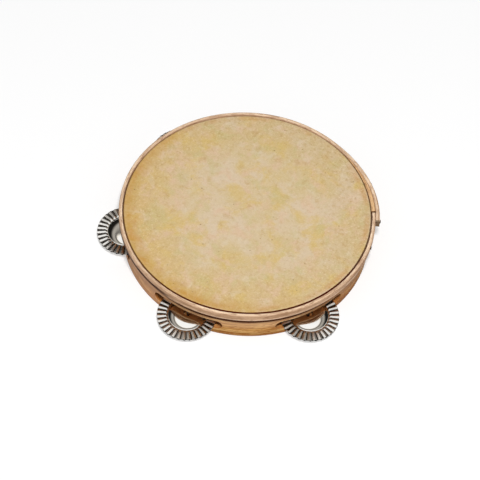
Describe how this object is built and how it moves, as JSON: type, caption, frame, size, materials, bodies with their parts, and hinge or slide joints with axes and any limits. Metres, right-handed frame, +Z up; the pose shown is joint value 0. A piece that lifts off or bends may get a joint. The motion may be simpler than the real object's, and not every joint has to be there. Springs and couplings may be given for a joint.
{
  "type": "tambourine",
  "caption": "Hand-held round frame drum with a skin head under a wooden hoop, and pairs of ribbed metal jingles that slide on pins in slots round its shell.",
  "frame": {"origin": "on the shell's axis, in the plane of the open rim that the tambourine stands on", "axes": "+Z up the shell's axis towards the skin; +Y towards the middle of the first jingle slot; the plain grip stretch and the hoop's seam lie 30 degrees round from +X towards +Y"},
  "size_m": [0.2772, 0.3078, 0.042],
  "materials": {
    "shell_wood": "clear-varnished golden brown bentwood",
    "hoop_wood": "pale pinkish beige bentwood, lightly varnished",
    "head_skin": "dry translucent hide, mottled tan",
    "jingle_metal": "bright nickel plate",
    "pin_steel": "drawn wire, slightly dulled",
    "tack_steel": "blued steel"
  },
  "bodies": {
    "frame": {"shell": "shell_wood", "skin": "head_skin", "hoop": "hoop_wood", "hoop_filler": "hoop_wood", "hoop_tacks": "tack_steel", "pin_1": "pin_steel", "pin_2": "pin_steel", "pin_3": "pin_steel", "pin_4": "pin_steel", "pin_5": "pin_steel"},
    "lower_jingle_1": {"jingle_1_lower": "jingle_metal"},
    "upper_jingle_1": {"jingle_1_upper": "jingle_metal"},
    "lower_jingle_2": {"jingle_2_lower": "jingle_metal"},
    "upper_jingle_2": {"jingle_2_upper": "jingle_metal"},
    "lower_jingle_3": {"jingle_3_lower": "jingle_metal"},
    "upper_jingle_3": {"jingle_3_upper": "jingle_metal"},
    "lower_jingle_4": {"jingle_4_lower": "jingle_metal"},
    "upper_jingle_4": {"jingle_4_upper": "jingle_metal"},
    "lower_jingle_5": {"jingle_5_lower": "jingle_metal"},
    "upper_jingle_5": {"jingle_5_upper": "jingle_metal"}
  },
  "joints": [
    {"name": "lower_slide_1", "type": "slide", "parent": "frame", "child": "lower_jingle_1", "axis": [0, 0, 1], "range_m": [0, 0.003]},
    {"name": "upper_slide_1", "type": "slide", "parent": "lower_jingle_1", "child": "upper_jingle_1", "axis": [0, 0, 1], "range_m": [0, 0.003]},
    {"name": "lower_slide_2", "type": "slide", "parent": "frame", "child": "lower_jingle_2", "axis": [0, 0, 1], "range_m": [0, 0.003]},
    {"name": "upper_slide_2", "type": "slide", "parent": "lower_jingle_2", "child": "upper_jingle_2", "axis": [0, 0, 1], "range_m": [0, 0.003]},
    {"name": "lower_slide_3", "type": "slide", "parent": "frame", "child": "lower_jingle_3", "axis": [0, 0, 1], "range_m": [0, 0.003]},
    {"name": "upper_slide_3", "type": "slide", "parent": "lower_jingle_3", "child": "upper_jingle_3", "axis": [0, 0, 1], "range_m": [0, 0.003]},
    {"name": "lower_slide_4", "type": "slide", "parent": "frame", "child": "lower_jingle_4", "axis": [0, 0, 1], "range_m": [0, 0.003]},
    {"name": "upper_slide_4", "type": "slide", "parent": "lower_jingle_4", "child": "upper_jingle_4", "axis": [0, 0, 1], "range_m": [0, 0.003]},
    {"name": "lower_slide_5", "type": "slide", "parent": "frame", "child": "lower_jingle_5", "axis": [0, 0, 1], "range_m": [0, 0.003]},
    {"name": "upper_slide_5", "type": "slide", "parent": "lower_jingle_5", "child": "upper_jingle_5", "axis": [0, 0, 1], "range_m": [0, 0.003]}
  ]
}
